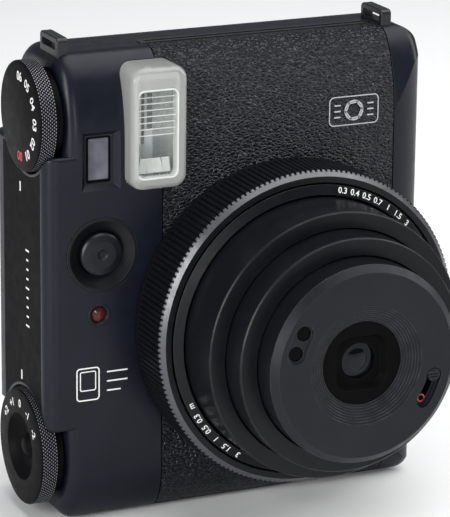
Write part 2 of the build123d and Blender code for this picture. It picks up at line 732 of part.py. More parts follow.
def timer_lamp():
    """The domed lens of the self-timer lamp."""
    outline = [(0, -20.1), (0.9, -20.0), (1.6, -19.75), (1.9, -19.5), (1.9, -16), (0, -16)]
    return turned(outline, LAMP_X, LAMP_Z)


def battery():
    """The flat rechargeable battery over its lid."""
    pack = block(BATTERY[0], BATTERY[1], -11.2, 10, 2.3, 8.3)
    return fillet(pack.edges().filter_by(Axis.Z), 1.5)


def battery_door():
    """The lid under the battery with its hinge barrel and pins."""
    lid = block(BATTERY[0] - 1, BATTERY[1] + 1, -11, LID_HINGE_Y, 0.15, 1.5)
    lid += rod_x(0.95, BATTERY[0] - 1, BATTERY[1] + 1, LID_HINGE_Y, LID_HINGE_Z)
    lid += rod_x(0.6, BATTERY[0] - 2.2, BATTERY[1] + 2.2, LID_HINGE_Y, LID_HINGE_Z)
    return lid - block(BATTERY[0] + 12, BATTERY[1] - 12, -9.4, -8.0, -1, 0.6)


def usb_port():
    """The charging socket behind its cover."""
    shell = block(43.2, 48.4, -11.4, -8.2, USB_Z0 + 2.5, USB_Z1 - 2.5)
    return shell - block(44.2, 49, -10.8, -8.8, USB_Z0 + 3.1, USB_Z1 - 3.1)


def usb_cover():
    """The small side door over the charging socket."""
    door = block(49.7, 50.95, -13, USB_HINGE_Y, USB_Z0, USB_Z1)
    door += rod_z(0.9, USB_Z0, USB_Z1, USB_HINGE_X, USB_HINGE_Y)
    return door + rod_z(0.5, USB_Z0 - 1.0, USB_Z1 + 1.0, USB_HINGE_X, USB_HINGE_Y)


def main_board():
    """The circuit board in the rear column, with chips and the switches under the buttons."""
    board = block(-43, -29, 9.3, 10.5, 22, 83)
    for z in BUTTON_ZS:
        board += block(COLUMN_X - 2.2, COLUMN_X + 2.2, 10.5, 10.9, z - 2.2, z + 2.2)
    board += block(-41, -34, 8.0, 9.3, 58, 65)
    return board + block(-40, -32, 8.2, 9.3, 44, 52)


def display_window():
    """The rear display with its window."""
    return rounded_y(11, 14, 1.45, 12.4, 14.85, COLUMN_X, DISPLAY_Z)


def rear_button(z):
    """One push button on the rear column."""
    button = rod_y(REAR_BUTTON_R, 11.8, 15.7, COLUMN_X, z)
    return fillet(button.faces().sort_by(Axis.Y)[-1].edges(), 0.5)


def mode_button():
    """The upper rear button."""
    return rear_button(BUTTON_ZS[0])


def flash_button():
    """The middle rear button."""
    return rear_button(BUTTON_ZS[1])


def timer_button():
    """The lower rear button."""
    return rear_button(BUTTON_ZS[2])


def door_pins():
    """The two hinge pins of the film door, held in the rear shell."""
    lower = rod_z(HINGE_PIN_R, 3, DOOR_BOTTOM_Z + 5, HINGE_X, HINGE_Y)
    upper = rod_z(HINGE_PIN_R, DOOR_TOP_Z - 5, DOOR_TOP_Z + 2.8, HINGE_X, HINGE_Y)
    return Compound(children=[lower, upper])


def film_door():
    """The rear door with its hinge barrel, latch pocket and film window."""
    door = (OUTER - INNER) & block(DOOR_LEFT, HINGE_X, 8, 20, DOOR_BOTTOM_Z, DOOR_TOP_Z)
    door += rod_z(HINGE_R, DOOR_BOTTOM_Z, DOOR_TOP_Z, HINGE_X, HINGE_Y)
    for z0, z1 in ((DOOR_BOTTOM_Z - 1, DOOR_BOTTOM_Z + 6), (DOOR_TOP_Z - 6, DOOR_TOP_Z + 1)):
        door -= rod_z(HINGE_PIN_R + 0.06, z0, z1, HINGE_X, HINGE_Y)
    door -= block(LATCH_X - 2.6, LATCH_X + 2.6, 13.7, 20, LATCH_Z - 6.4, LATCH_Z + 9.6)
    return door - rounded_y(12.1, 18.1, 1.5, 10, 20, FILM_X, LENS_Z + 10)


def door_window():
    """The window in the door that shows whether film is loaded."""
    return rounded_y(12, 18, 1.45, 13.1, 14.8, FILM_X, LENS_Z + 10)


def door_latch():
    """The ribbed slider that releases the film door."""
    latch = block(LATCH_X - 2.3, LATCH_X + 2.3, 13.8, 15.3, LATCH_Z - 6, LATCH_Z + 6)
    for index in range(-3, 4):
        z = LATCH_Z + index * 1.4
        latch -= block(LATCH_X - 3, LATCH_X + 3, 14.9, 16, z - 0.3, z + 0.3)
    return latch


def film_cartridge():
    """The film pack with its image window and the film sheets seen in it."""
    x0, x1 = FILM_X - CARTRIDGE[0] / 2, FILM_X + CARTRIDGE[0] / 2
    y1 = CARTRIDGE_FRONT_Y + CARTRIDGE[1]
    z1 = CARTRIDGE_BOTTOM_Z + CARTRIDGE[2]
    pack = block(x0, x1, CARTRIDGE_FRONT_Y, y1, CARTRIDGE_BOTTOM_Z, z1)
    pack = fillet(pack.edges().filter_by(Axis.Y), 1.5)
    return pack - film_room(0.2)


def film_room(grow):
    """The window and hollow of the film pack."""
    y0, y1 = CARTRIDGE_FRONT_Y - 1, CARTRIDGE_FRONT_Y + 2
    window = block(FILM_X - 23, FILM_X + 23, y0, y1, LENS_Z - 31, LENS_Z + 31)
    return window + film_stack(grow)


def film_stack(grow):
    """The stack of film sheets, or with grow the hollow for it."""
    x0, x1 = FILM_X - 27 - grow, FILM_X + 27 + grow
    y0, y1 = CARTRIDGE_FRONT_Y + 1 - grow, CARTRIDGE_FRONT_Y + 6 + grow
    return block(x0, x1, y0, y1, CARTRIDGE_BOTTOM_Z + 4 - grow, CARTRIDGE_BOTTOM_Z + 90 + grow)


def film_sheets():
    """The film sheets in the pack."""
    return film_stack(0)


def gear(teeth, shift, bore, z):
    """A spur gear in the drive plane, turned by shift of a tooth from having a tooth on top."""
    pitch_r = teeth * GEAR_MODULE / 2
    rings = ((pitch_r - 0.62, 0.29), (pitch_r, 0.20), (pitch_r + 0.42, 0.11))
    points = []
    for index in range(teeth):
        for part, (radius, half) in enumerate(rings):
            points.append((radius, index - half))
        for radius, half in reversed(rings):
            points.append((radius, index + half))
    outline = []
    for radius, turn in points:
        angle = 2 * math.pi * (turn + shift) / teeth
        outline.append((radius * math.sin(angle), radius * math.cos(angle)))
    face = Plane.YZ * make_face(Polyline(*outline, close=True))
    wheel = Pos(GEAR_X, GEAR_Y, z) * extrude(face, amount=GEAR_WIDTH)
    if bore > 0:
        wheel -= rod_x(bore, GEAR_X - 1, GEAR_X + GEAR_WIDTH + 1, GEAR_Y, z)
    return wheel


def motor_pinion():
    """The pinion and shaft of the motor."""
    return gear(PINION_TEETH, 0, 0, PINION_Z) + rod_x(0.75, -31, GEAR_X, GEAR_Y, PINION_Z)


def idler_lower():
    """The lower idler gear."""
    return gear(IDLER_TEETH, 0.5, 1.05, LOWER_IDLER_Z)


def idler_upper():
    """The upper idler gear."""
    return gear(IDLER_TEETH, 0, 1.05, UPPER_IDLER_Z)


def roller_rear():
    """The driven ejection roller with its shaft and gear."""
    roller = rod_x(ROLLER_R, -19.8, 38.6, GEAR_Y, ROLLER_Z) + rod_x(1.0, GEAR_X, 42.2, GEAR_Y, ROLLER_Z)
    return roller + gear(ROLLER_TEETH, 0.5, 0, ROLLER_Z)


def roller_front():
    """The front ejection roller, driven through the film."""
    return rod_x(ROLLER_R, -19.8, 38.6, *FRONT_ROLLER) + rod_x(1.0, -23.4, 42.2, *FRONT_ROLLER)


def gear_bracket():
    """The plate with the two axles of the idler gears."""
    plate = block(-30.2, -29, -6, 3, LOWER_IDLER_Z - 3.4, 113)
    plate -= rod_x(1.6, -31, -28, GEAR_Y, ROLLER_Z)
    for z in (LOWER_IDLER_Z, UPPER_IDLER_Z):
        plate += rod_x(1.0, -29, GEAR_X + GEAR_WIDTH + 0.4, GEAR_Y, z)
    return plate


def drive_motor():
    """The motor that turns the film rollers."""
    can = rod_x(6.0, -43.2, -29.4, GEAR_Y, PINION_Z)
    can = fillet(can.edges(), 0.6)
    return can - rod_x(0.81, -32, -29, GEAR_Y, PINION_Z)


OUTER = outer_body()
INNER = inner_body(WALL)
CASE = case_wall()

NODES = [
    front_shell, rear_shell, side_panel, leather_cover, film_exit_lip, strap_lug_left, strap_lug_right,
    tripod_socket, case_screws, dark_chamber, lens_mount, lens_bezel, flash_cover, flash_reflector,
    flash_tube, flash_capacitor, finder_window, finder_tube, finder_eyepiece, eyecup, shutter_dish,
    timer_lamp, lamp_bezel, battery, main_board, display_window, drive_motor, gear_bracket,
    film_cartridge, film_sheets, usb_port, door_pins, lens_ring, barrel_outer, barrel_middle,
    barrel_inner, lens_face, sensor_windows, lens_cell, front_element, rear_element, shutter_blade_left,
    shutter_blade_right, vignette_switch, effect_dial, brightness_dial, shutter_button, mode_button,
    flash_button, timer_button, film_door, door_window, door_latch, battery_door, usb_cover,
    roller_front, roller_rear, idler_lower, idler_upper, motor_pinion,
]

for make_node in NODES:
    export_step(make_node(), f"parts/{make_node.__name__}.step")
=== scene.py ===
import math

import bmesh
import bpy
from mathutils import Matrix, Vector


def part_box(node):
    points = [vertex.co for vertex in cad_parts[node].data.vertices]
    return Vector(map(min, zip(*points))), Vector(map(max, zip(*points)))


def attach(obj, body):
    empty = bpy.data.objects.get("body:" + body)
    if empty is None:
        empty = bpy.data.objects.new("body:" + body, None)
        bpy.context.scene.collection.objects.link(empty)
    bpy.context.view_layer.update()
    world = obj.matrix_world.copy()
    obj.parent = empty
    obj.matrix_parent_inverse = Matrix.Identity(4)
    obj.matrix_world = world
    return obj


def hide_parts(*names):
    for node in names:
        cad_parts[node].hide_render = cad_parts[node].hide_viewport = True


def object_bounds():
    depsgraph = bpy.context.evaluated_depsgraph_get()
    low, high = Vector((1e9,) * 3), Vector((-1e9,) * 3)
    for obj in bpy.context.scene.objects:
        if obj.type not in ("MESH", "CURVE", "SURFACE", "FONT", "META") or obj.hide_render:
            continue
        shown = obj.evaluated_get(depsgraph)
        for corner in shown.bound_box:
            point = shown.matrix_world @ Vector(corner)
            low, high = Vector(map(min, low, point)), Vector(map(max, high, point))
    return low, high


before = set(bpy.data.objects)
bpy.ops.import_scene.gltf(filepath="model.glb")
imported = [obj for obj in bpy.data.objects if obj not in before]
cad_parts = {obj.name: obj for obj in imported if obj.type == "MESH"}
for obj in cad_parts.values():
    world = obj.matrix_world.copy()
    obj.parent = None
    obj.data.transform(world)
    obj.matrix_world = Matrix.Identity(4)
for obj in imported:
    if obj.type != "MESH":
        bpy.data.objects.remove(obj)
cad_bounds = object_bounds()

# Everything is in metres, in the frame of the CAD model: the lens looks along -Y and +Z is up.
MM = 0.001
MARK_RELIEF = 0.04 * MM


def middle(node):
    """The middle of a CAD node's box."""
    low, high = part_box(node)
    return (low + high) / 2


LENS = middle("lens_ring")
RING_LOW, RING_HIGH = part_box("lens_ring")
RING_R = (RING_HIGH.x - RING_LOW.x) / 2


# ---------------------------------------------------------------- materials

class Shader:
    """A material and short ways to add texture nodes to it."""

    def __init__(self, name, colour, roughness, **sockets):
        self.material = bpy.data.materials.new(name)
        self.material.use_nodes = True
        self.tree = self.material.node_tree
        self.bsdf = self.tree.nodes["Principled BSDF"]
        self.place = self.tree.nodes.new("ShaderNodeTexCoord").outputs["Object"]
        self.bsdf.inputs["Base Color"].default_value = (*colour, 1)
        self.bsdf.inputs["Roughness"].default_value = roughness
        for socket, value in sockets.items():
            self.bsdf.inputs[socket.replace("_", " ")].default_value = value
        self.colour = colour
        self.roughness = roughness
        self.normal = None

    def add(self, kind, links=None, values=None, **settings):
        node = self.tree.nodes.new(kind)
        for key, value in settings.items():
            setattr(node, key, value)
        for key, value in (values or {}).items():
            node.inputs[key].default_value = value
        for key, source in (links or {}).items():
            self.tree.links.new(source, node.inputs[key])
        return node

    def stretched(self, scale):
        """Object coordinates scaled unevenly."""
        node = self.add("ShaderNodeMapping", {"Vector": self.place}, {"Scale": scale})
        return node.outputs["Vector"]

    def noise(self, size, detail=3.0, stretch=None):
        """Noise whose blotches are about size metres across."""
        place = self.stretched(stretch) if stretch else self.place
        node = self.add("ShaderNodeTexNoise", {"Vector": place}, {"Scale": 1 / size, "Detail": detail})
        return node.outputs["Fac"]

    def cells(self, size, feature="F1", stretch=None, randomness=1.0):
        """Distances in a cell pattern whose cells are about size metres across."""
        place = self.stretched(stretch) if stretch else self.place
        values = {"Scale": 1 / size, "Randomness": randomness}
        node = self.add("ShaderNodeTexVoronoi", {"Vector": place}, values, feature=feature)
        return node.outputs["Distance"]

    def spread(self, source, low, high, new_low, new_high):
        """A value moved from one range to another and kept inside it."""
        values = {"From Min": low, "From Max": high, "To Min": new_low, "To Max": new_high}
        return self.add("ShaderNodeMapRange", {"Value": source}, values).outputs["Result"]

    def math(self, operation, first, second):
        """One math step on two sources, or on a source and a number."""
        node = self.add("ShaderNodeMath", {0: first}, operation=operation)
        if isinstance(second, (int, float)):
            node.inputs[1].default_value = second
        else:
            self.tree.links.new(second, node.inputs[1])
        return node.outputs[0]

    def tint(self, factor, other):
        """Mixes the base colour towards another colour by a factor."""
        node = self.add("ShaderNodeMix", {"Factor": factor}, data_type="RGBA")
        node.inputs["A"].default_value = (*self.colour, 1)
        current = self.bsdf.inputs["Base Color"]
        if current.is_linked:
            self.tree.links.new(current.links[0].from_socket, node.inputs["A"])
        node.inputs["B"].default_value = (*other, 1)
        self.tree.links.new(node.outputs["Result"], current)
        return self

    def rough(self, source, low, high):
        """Roughness that varies with a source."""
        self.tree.links.new(self.spread(source, 0.3, 0.7, low, high), self.bsdf.inputs["Roughness"])
        return self

    def soften(self, radius):
        """Shades edges as if they were rounded by radius, and returns a mask of them."""
        bevel = self.add("ShaderNodeBevel", values={"Radius": radius}, samples=6)
        self.normal = bevel.outputs["Normal"]
        self.tree.links.new(self.normal, self.bsdf.inputs["Normal"])
        flat = self.add("ShaderNodeNewGeometry").outputs["Normal"]
        dot = self.add("ShaderNodeVectorMath", {0: self.normal, 1: flat}, operation="DOT_PRODUCT")
        return self.spread(dot.outputs["Value"], 0.995, 0.80, 0.0, 1.0)

    def bump(self, height, depth):
        """Relief of a given depth in metres."""
        node = self.add("ShaderNodeBump", {"Height": height}, {"Distance": depth, "Strength": 1.0})
        if self.normal is not None:
            self.tree.links.new(self.normal, node.inputs["Normal"])
        self.normal = node.outputs["Normal"]
        self.tree.links.new(self.normal, self.bsdf.inputs["Normal"])
        return self


def moulded(
    name, colour, roughness, depth=0.012 * MM, edge=0.25 * MM, wear_and_highlight=0.5, edge_light=0.02, **sockets,
):
    """Moulded plastic: fine spark-eroded grain, uneven sheen, and edges lightened partly as rubbed wear and
    partly as a painted highlight.
    """
    shader = Shader(name, colour, roughness, **sockets)
    edges = shader.soften(edge)
    # Painted highlight and wear: the edge mask, broken up by noise, lightens the colour at the edges.
    rubbed_and_highlit = shader.math("MULTIPLY", edges, shader.spread(shader.noise(3 * MM), 0.35, 0.65, 0.2, wear_and_highlight))
    shader.tint(shader.spread(shader.noise(9 * MM, 4), 0.3, 0.7, 0.0, 1.0), [c * 1.35 for c in colour])
    shader.tint(rubbed_and_highlit, [min(1.0, c * 2.5 + edge_light) for c in colour])
    shader.rough(shader.noise(2.5 * MM, 5), roughness - 0.05, roughness + 0.06)
    shader.bump(shader.noise(0.35 * MM, 2), depth)
    return shader.material


def leatherette():
    """Embossed grain: long pebbles with deep creases between them, the creases darkened with painted shade.
    """
    shader = Shader("leatherette_grain", (0.004, 0.005, 0.008), 0.34, Specular_IOR_Level=0.3)
    warp = shader.noise(2.5 * MM, 3)
    links = {0: warp, 2: shader.place}
    shifted = shader.add("ShaderNodeVectorMath", links, {1: [1.2 * MM] * 3}, operation="MULTIPLY_ADD")
    turn = {"Rotation": (0, math.radians(-40), 0), "Scale": (0.75, 1.0, 1.25)}
    turned = shader.add("ShaderNodeMapping", {"Vector": shifted.outputs["Vector"]}, turn)
    shader.place = turned.outputs["Vector"]
    pebbles = shader.cells(1.0 * MM, "SMOOTH_F1")
    creases = shader.cells(1.0 * MM, "DISTANCE_TO_EDGE")
    tops = shader.math("MULTIPLY", pebbles, 0.9)
    height = shader.math("SUBTRACT", shader.spread(creases, 0.0, 0.25, 0.0, 1.0), tops)
    # Painted shade: the creases between the pebbles are darkened.
    shader.tint(shader.spread(creases, 0.0, 0.14, 1.0, 0.0), (0.002, 0.002, 0.004))
    shader.tint(shader.spread(shader.noise(12 * MM, 3), 0.35, 0.7, 0.0, 0.5), (0.008, 0.009, 0.014))
    shader.rough(shader.noise(1.2 * MM, 3), 0.30, 0.44)
    shader.bump(height, 0.26 * MM)
    return shader.material


def brushed(name, colour, roughness, metallic=1.0, stretch=(1, 1, 12)):
    """Metal with fine drawn lines and faint stains."""
    shader = Shader(name, colour, roughness, Metallic=metallic)
    lines = shader.noise(0.4 * MM, 2, stretch)
    shader.tint(shader.spread(shader.noise(4 * MM), 0.35, 0.75, 0.0, 0.6), [c * 0.7 for c in colour])
    shader.rough(lines, roughness - 0.08, roughness + 0.1)
    shader.bump(lines, 0.006 * MM)
    return shader.material


def clear_plastic(name, colour, alpha, roughness, **sockets):
    """Clear or milky moulded plastic that the parts behind show through, with painted highlight lines along
    its edges.
    """
    shader = Shader(name, colour, roughness, **sockets)
    edges = shader.soften(0.3 * MM)
    shader.tint(shader.spread(shader.noise(5 * MM, 4), 0.3, 0.75, 0.0, 0.5), [c * 0.88 for c in colour])
    # Painted highlight: the edges are lightened and made less clear, as thin bright lines.
    shader.tint(edges, [min(1.0, c * 2.0) for c in colour])
    cover = shader.spread(edges, 0.0, 1.0, alpha, min(1.0, alpha + 0.35))
    shader.tree.links.new(cover, shader.bsdf.inputs["Alpha"])
    shader.rough(shader.noise(2 * MM, 3), roughness - 0.03, roughness + 0.05)
    shader.bump(shader.noise(2.5 * MM, 1), 0.008 * MM)
    return shader.material


def coated_glass(name, colour, sheen_colour, roughness=0.05, gloss=0.2):
    """Dark coated glass: almost black inside, with a tinted gloss, blotches of painted sheen and faint
    dust.
    """
    gloss_sockets = {"Coat_Weight": gloss, "Coat_Roughness": 0.03, "Specular_IOR_Level": gloss}
    shader = Shader(name, colour, roughness, **gloss_sockets)
    # Painted sheen: blotches of the base colour are lifted towards sheen_colour.
    shader.tint(shader.spread(shader.noise(6 * MM, 2), 0.4, 0.7, 0.0, 0.7), sheen_colour)
    shader.rough(shader.noise(1.5 * MM, 4), roughness, roughness + 0.08)
    shader.bump(shader.noise(7 * MM, 1), 0.01 * MM)
    return shader.material


def printed(name, colour):
    """Pad-printed ink, slightly uneven."""
    shader = Shader(name, colour, 0.5)
    shader.tint(shader.spread(shader.noise(0.5 * MM, 3), 0.4, 0.8, 0.0, 0.6), [c * 0.8 for c in colour])
    shader.rough(shader.noise(0.6 * MM, 2), 0.42, 0.6)
    shader.bump(shader.noise(0.25 * MM, 2), 0.004 * MM)
    return shader.material


CASE = moulded(
    "case_plastic", (0.004, 0.005, 0.010), 0.33, depth=0.008 * MM, edge=0.25 * MM, wear_and_highlight=0.35,
    edge_light=0.05, Specular_IOR_Level=0.22,
)
SIDE = moulded("side_plate_plastic", (0.005, 0.005, 0.0055), 0.5, depth=0.004 * MM, Specular_IOR_Level=0.02)
LEATHER = leatherette()
LENS_BLACK = moulded(
    "lens_plastic", (0.004, 0.0043, 0.0055), 0.34, depth=0.004 * MM, edge=0.16 * MM, wear_and_highlight=1.0,
    edge_light=0.12, Specular_IOR_Level=0.18,
)
FACE = moulded(
    "lens_face_plastic", (0.006, 0.0065, 0.009), 0.40, depth=0.004 * MM, edge=0.16 * MM, wear_and_highlight=1.0,
    edge_light=0.10, Specular_IOR_Level=0.2,
)
RING = moulded("ring_plastic", (0.003, 0.0033, 0.0045), 0.38, edge=0.12 * MM, Specular_IOR_Level=0.15)
# Painted highlight: the ring's front bevel is a light grey copy of the ring plastic, standing in for the
# light it catches.
RING_BEVEL_HIGHLIT = moulded(
    "ring_bevel_painted_highlight", (0.030, 0.030, 0.036), 0.32, edge=0.1 * MM, Specular_IOR_Level=0.8,
)
DIAL = moulded(
    "dial_plastic", (0.004, 0.004, 0.0045), 0.42, depth=0.004 * MM, edge=0.15 * MM,
    Specular_IOR_Level=0.03,
)
KNURL = moulded(
    "knurl_plastic", (0.003, 0.003, 0.004), 0.40, edge=0.05 * MM, wear_and_highlight=0.3, Specular_IOR_Level=0.15,
)
# Painted highlight: the flat tops of the knurl are a light grey copy of the knurl plastic, standing in for
# the light they catch.
KNURL_TIP_HIGHLIT = moulded("knurl_tip_painted_highlight", (0.16, 0.16, 0.18), 0.30, edge=0.05 * MM, Specular_IOR_Level=0.6)
BUTTON = moulded("button_plastic", (0.004, 0.005, 0.007), 0.32, depth=0.004 * MM, Specular_IOR_Level=0.25)
INNER = moulded(
    "inner_flocking", (0.002, 0.002, 0.002), 0.6, edge=0.1 * MM, edge_light=0.03,
    Specular_IOR_Level=0.04,
)
BLACK_METAL = moulded(
    "black_painted_metal", (0.014, 0.014, 0.016), 0.34, edge=0.2 * MM, wear_and_highlight=0.9, Metallic=0.4,
)
RUBBER = moulded("rubber_matte", (0.010, 0.010, 0.011), 0.62, depth=0.02 * MM, Specular_IOR_Level=0.3)
STEEL = brushed("satin_steel", (0.55, 0.56, 0.58), 0.32)
COVER_MILK = clear_plastic("cover_milky", (0.43, 0.44, 0.42), 0.58, 0.14, Coat_Weight=0.5)
COVER_CLEAR = clear_plastic("cover_clear", (0.55, 0.60, 0.58), 0.06, 0.06, Coat_Weight=0.5)
# Painted highlight: a near-white, mostly opaque plastic for the bright lines of the window rim, the pane
# ribs and the reflector facets.
COVER_HIGHLIGHT = clear_plastic("cover_painted_highlight", (0.62, 0.65, 0.61), 0.75, 0.2)
REFLECTOR = brushed("reflector_metal", (0.80, 0.82, 0.80), 0.22, metallic=0.85)
TUBE_SHADE = clear_plastic("tube_shadow", (0.05, 0.052, 0.05), 0.55, 0.3)
TUBE_GLASS = clear_plastic("tube_glass", (0.75, 0.80, 0.82), 0.45, 0.08)
LENS_GLASS = coated_glass("lens_coating", (0.001, 0.0015, 0.002), (0.012, 0.013, 0.022), gloss=0.12)
FINDER_GLASS = coated_glass("finder_glass", (0.08, 0.083, 0.105), (0.17, 0.175, 0.21), 0.12)
DARK_GLASS = coated_glass("dark_window_gloss", (0.001, 0.001, 0.001), (0.002, 0.002, 0.003), gloss=0.03)
LAMP = coated_glass("lamp_red_lens", (0.045, 0.007, 0.006), (0.09, 0.016, 0.012), 0.15)
FINDER_LINER = moulded("finder_liner_plastic", (0.05, 0.05, 0.056), 0.35, edge=0.2 * MM)
WHITE_INK = printed("white_ink", (0.82, 0.82, 0.80))
GREY_INK = printed("grey_ink", (0.42, 0.43, 0.45))
RED_INK = printed("red_ink", (0.55, 0.05, 0.05))
FILM = printed("film_white", (0.75, 0.75, 0.70))
BOARD = moulded("board_green", (0.01, 0.06, 0.03), 0.35)
GEAR = moulded("gear_white", (0.62, 0.62, 0.58), 0.45)
SLEEVE = moulded("capacitor_sleeve", (0.03, 0.035, 0.12), 0.3)
PACK = moulded("film_pack_plastic", (0.02, 0.02, 0.021), 0.5)

NODE_MATERIALS = {
    CASE: ("front_shell", "rear_shell", "film_door", "battery_door", "usb_cover"),
    SIDE: ("side_panel",),
    LEATHER: ("leather_cover",),
    LENS_BLACK: (
        "lens_mount", "lens_bezel", "barrel_outer", "barrel_middle", "barrel_inner", "shutter_dish",
        "lamp_bezel",
    ),
    FACE: ("lens_face",),
    RING: ("lens_ring",),
    DIAL: ("effect_dial", "brightness_dial"),
    BUTTON: (
        "shutter_button", "vignette_switch", "mode_button", "flash_button", "timer_button",
        "door_latch",
    ),
    INNER: ("dark_chamber", "finder_tube", "shutter_blade_left", "shutter_blade_right", "lens_cell"),
    BLACK_METAL: ("film_exit_lip", "strap_lug_left", "strap_lug_right"),
    RUBBER: ("eyecup", "roller_front"),
    STEEL: (
        "tripod_socket", "case_screws", "gear_bracket", "drive_motor", "usb_port", "door_pins",
        "roller_rear",
    ),
    COVER_CLEAR: ("flash_cover",),
    REFLECTOR: ("flash_reflector",),
    TUBE_GLASS: ("flash_tube",),
    FINDER_GLASS: ("finder_window", "finder_eyepiece"),
    LENS_GLASS: ("front_element", "rear_element"),
    DARK_GLASS: ("sensor_windows", "display_window", "door_window"),
    LAMP: ("timer_lamp",),
    SLEEVE: ("flash_capacitor",),
    PACK: ("film_cartridge", "battery"),
    FILM: ("film_sheets",),
    BOARD: ("main_board",),
    GEAR: ("idler_lower", "idler_upper", "motor_pinion"),
}


def dress_nodes():
    """Gives every CAD node its material."""
    for material, names in NODE_MATERIALS.items():
        for name in names:
            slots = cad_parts[name].material_slots
            for slot in slots:
                slot.material = material


# ---------------------------------------------------------------- meshes

def new_piece(name, vertices, faces, materials, body, replaces=(), smooth=35, face_material=None):
    """A mesh piece that rides on a body. face_material gives each face's material by number."""
    mesh = bpy.data.meshes.new(name)
    mesh.from_pydata([tuple(v) for v in vertices], [], faces)
    for material in materials:
        mesh.materials.append(material)
    if face_material:
        for polygon, index in zip(mesh.polygons, face_material):
            polygon.material_index = index
    work = bmesh.new()
    work.from_mesh(mesh)
    bmesh.ops.recalc_face_normals(work, faces=work.faces)
    work.to_mesh(mesh)
    work.free()
    mesh.shade_smooth()
    mesh.set_sharp_from_angle(angle=math.radians(smooth))
    piece = bpy.data.objects.new(name, mesh)
    bpy.context.scene.collection.objects.link(piece)
    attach(piece, body)
    if replaces:
        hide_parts(*replaces)
    return piece


def turn_about_y(centre):
    """Places a (radius, along, angle) point about an axis along Y."""
    def place(radius, along, angle):
        return Vector((centre.x + radius * math.cos(angle), along, centre.z + radius * math.sin(angle)))
    return place


def turn_about_x(centre):
    """Places a (radius, along, angle) point about an axis along X, with angle 0 to the front."""
    def place(radius, along, angle):
        return Vector((along, centre.y - radius * math.cos(angle), centre.z + radius * math.sin(angle)))
    return place


def lathe(outline, count, place, closed=False, depth=None):
    """A turned surface from (radius, along) points. depth(step, row) is taken off the radius."""
    vertices = []
    for step in range(count):
        angle = 2 * math.pi * step / count
        for row, (radius, along) in enumerate(outline):
            cut = depth(step, row) if depth else 0
            vertices.append(place(radius - cut, along, angle))
    faces = []
    rows = len(outline)
    spans = rows if closed else rows - 1
    for step in range(count):
        here, there = step * rows, ((step + 1) % count) * rows
        for row in range(spans):
            after = (row + 1) % rows
            faces.append((here + row, here + after, there + after, there + row))
    return vertices, faces


def rounded_outline(width, height, radius, per_corner=6):
    """Points round a rounded rectangle about the origin."""
    points = []
    for corner, (sx, sz) in enumerate(((1, 1), (-1, 1), (-1, -1), (1, -1))):
        for step in range(per_corner + 1):
            angle = math.pi / 2 * (corner + step / per_corner)
            x = sx * (width / 2 - radius) + radius * math.cos(angle)
            z = sz * (height / 2 - radius) + radius * math.sin(angle)
            points.append((x, z))
    return points


def loft(rings, closed=False, cap_first=False, cap_last=False):
    """Joins rings of points, each of the same length, into a surface."""
    count = len(rings[0])
    vertices = [point for ring in rings for point in ring]
    faces = []
    spans = len(rings) if closed else len(rings) - 1
    for level in range(spans):
        here, there = level * count, ((level + 1) % len(rings)) * count
        for index in range(count):
            after = (index + 1) % count
            faces.append((here + index, here + after, there + after, there + index))
    if cap_first:
        faces.append(tuple(range(count)))
    if cap_last:
        start = (len(rings) - 1) * count
        faces.append(tuple(range(start, start + count)))
    return vertices, faces


def frame_ring(width, height, radius, centre, y):
    """A rounded rectangle in the XZ plane about a centre."""
    return [Vector((centre.x + x, y, centre.z + z)) for x, z in rounded_outline(width, height, radius)]


def bar(low, high):
    """The vertices and faces of a plain bar between two corners."""
    corners = [(x, y, z) for x in (low[0], high[0]) for y in (low[1], high[1]) for z in (low[2], high[2])]
    faces = [(0, 1, 3, 2), (4, 6, 7, 5), (0, 4, 5, 1), (2, 3, 7, 6), (0, 2, 6, 4), (1, 5, 7, 3)]
    return corners, faces


class Shapes:
    """Gathers several shapes into one mesh."""

    def __init__(self):
        self.vertices = []
        self.faces = []

    def add(self, shape):
        vertices, faces = shape
        start = len(self.vertices)
        self.vertices += [tuple(v) for v in vertices]
        self.faces += [tuple(index + start for index in face) for face in faces]
        return self

    def piece(self, name, material, body, slot, replaces=(), smooth=35):
        return new_piece(name, self.vertices, self.faces, [material], body, replaces, smooth)


# ---------------------------------------------------------------- marks

def glyphs(text, size):
    """Flat outlines of a short numeral as solid letters about the origin, in (right, up, out)."""
    curve = bpy.data.curves.new("glyphs", "FONT")
    curve.body = text
    curve.size = size
    curve.align_x = "CENTER"
    curve.align_y = "CENTER"
    curve.extrude = MARK_RELIEF / 2
    curve.resolution_u = 3
    curve.offset = size * 0.012
    holder = bpy.data.objects.new("glyphs", curve)
    mesh = bpy.data.meshes.new_from_object(holder)
    shape = ([tuple(v.co) for v in mesh.vertices], [tuple(p.vertices) for p in mesh.polygons])
    bpy.data.objects.remove(holder)
    bpy.data.curves.remove(curve)
    bpy.data.meshes.remove(mesh)
    return shape


def stroke(x0, y0, x1, y1, width):
    """A straight mark between two points, in (right, up, out)."""
    along = Vector((x1 - x0, y1 - y0))
    side = Vector((-along.y, along.x)).normalized() * width / 2
    corners = [
        (x0 + side.x, y0 + side.y), (x1 + side.x, y1 + side.y), (x1 - side.x, y1 - side.y),
        (x0 - side.x, y0 - side.y),
    ]
    rings = [[(x, y, out) for x, y in corners] for out in (-MARK_RELIEF / 2, MARK_RELIEF / 2)]
    return loft(rings, cap_first=True, cap_last=True)


def hoop(radius, width, steps=32, x=0.0, y=0.0):
    """A round line about a point, in (right, up, out)."""
    rings = []
    for r, out in ((-1, -1), (1, -1), (1, 1), (-1, 1)):
        ring = []
        for step in range(steps):
            angle = 2 * math.pi * step / steps
            reach = radius + r * width / 2
            ring.append((x + reach * math.cos(angle), y + reach * math.sin(angle), out * MARK_RELIEF / 2))
        rings.append(ring)
    return loft(rings, closed=True)


